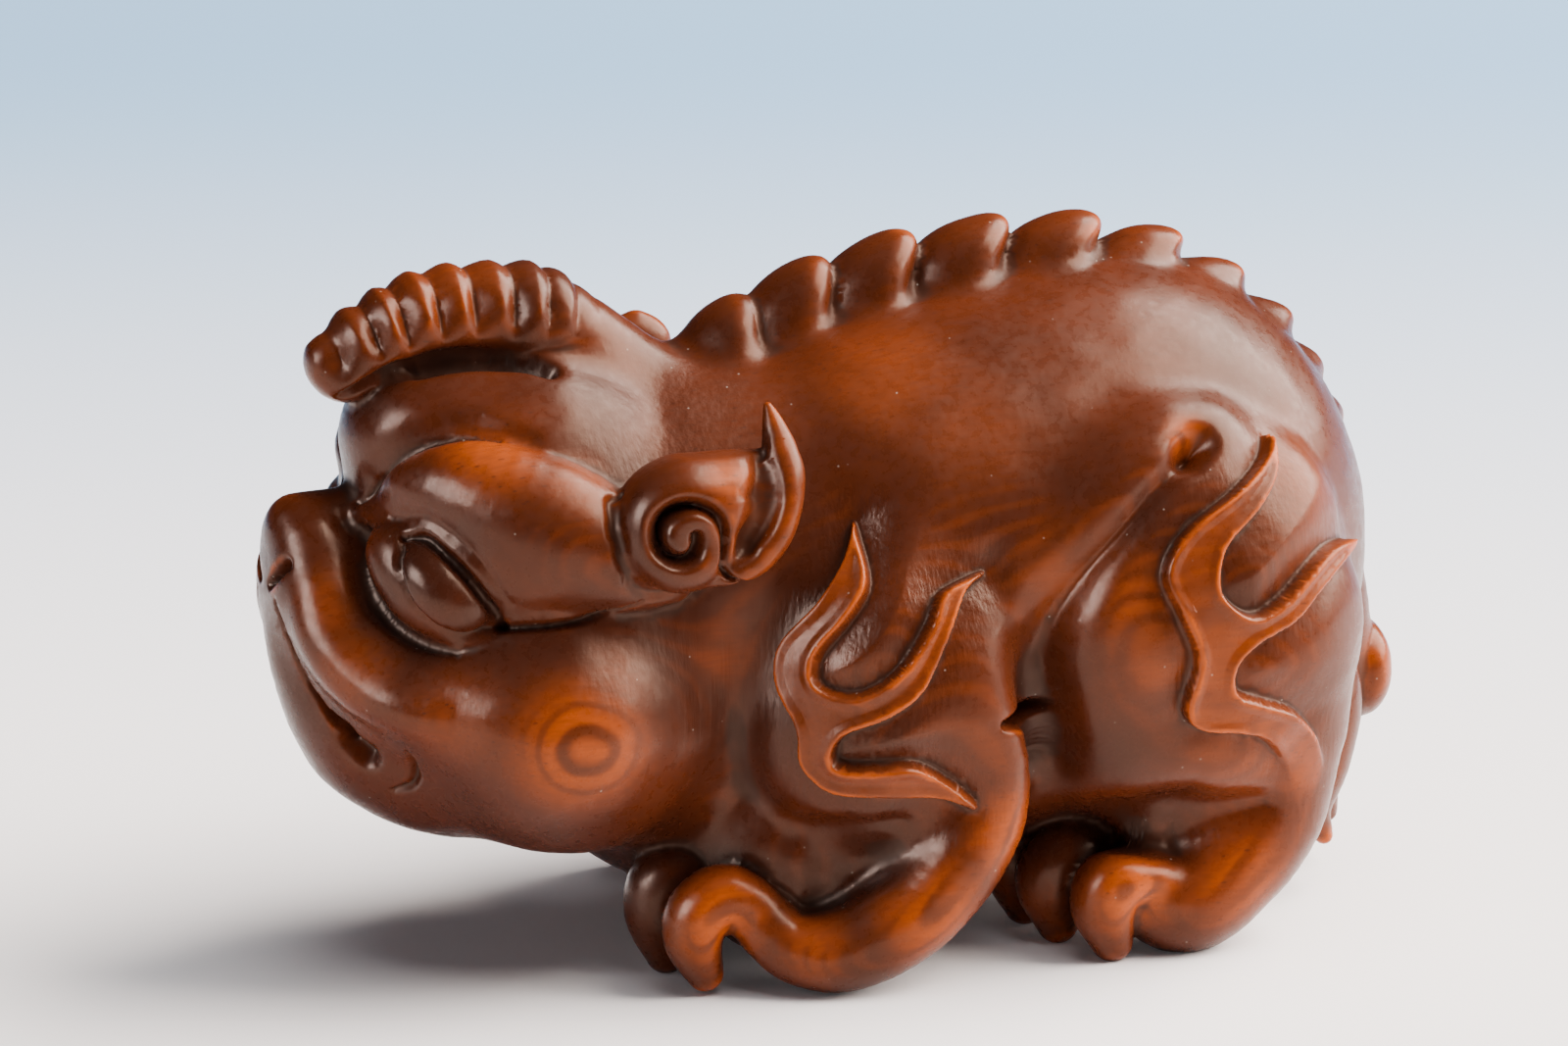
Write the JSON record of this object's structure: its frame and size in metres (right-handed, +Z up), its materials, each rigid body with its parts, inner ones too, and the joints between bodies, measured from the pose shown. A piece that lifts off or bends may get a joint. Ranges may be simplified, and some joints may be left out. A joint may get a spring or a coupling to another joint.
{
  "type": "netsuke",
  "caption": "Carved boxwood toggle in the form of a crouching mythical beast, pierced under the belly for a cord.",
  "frame": {"origin": "centre of the carving's footprint, on the surface that it stands on", "axes": "+Z up, -X towards the beast's nose, +X towards its tail, -Y towards its own left side"},
  "size_m": [0.0614, 0.0336, 0.0363],
  "materials": {
    "boxwood": "stained and polished, dark in the cuts"
  },
  "bodies": {
    "root": {"beast_netsuke": "boxwood"}
  },
  "joints": []
}
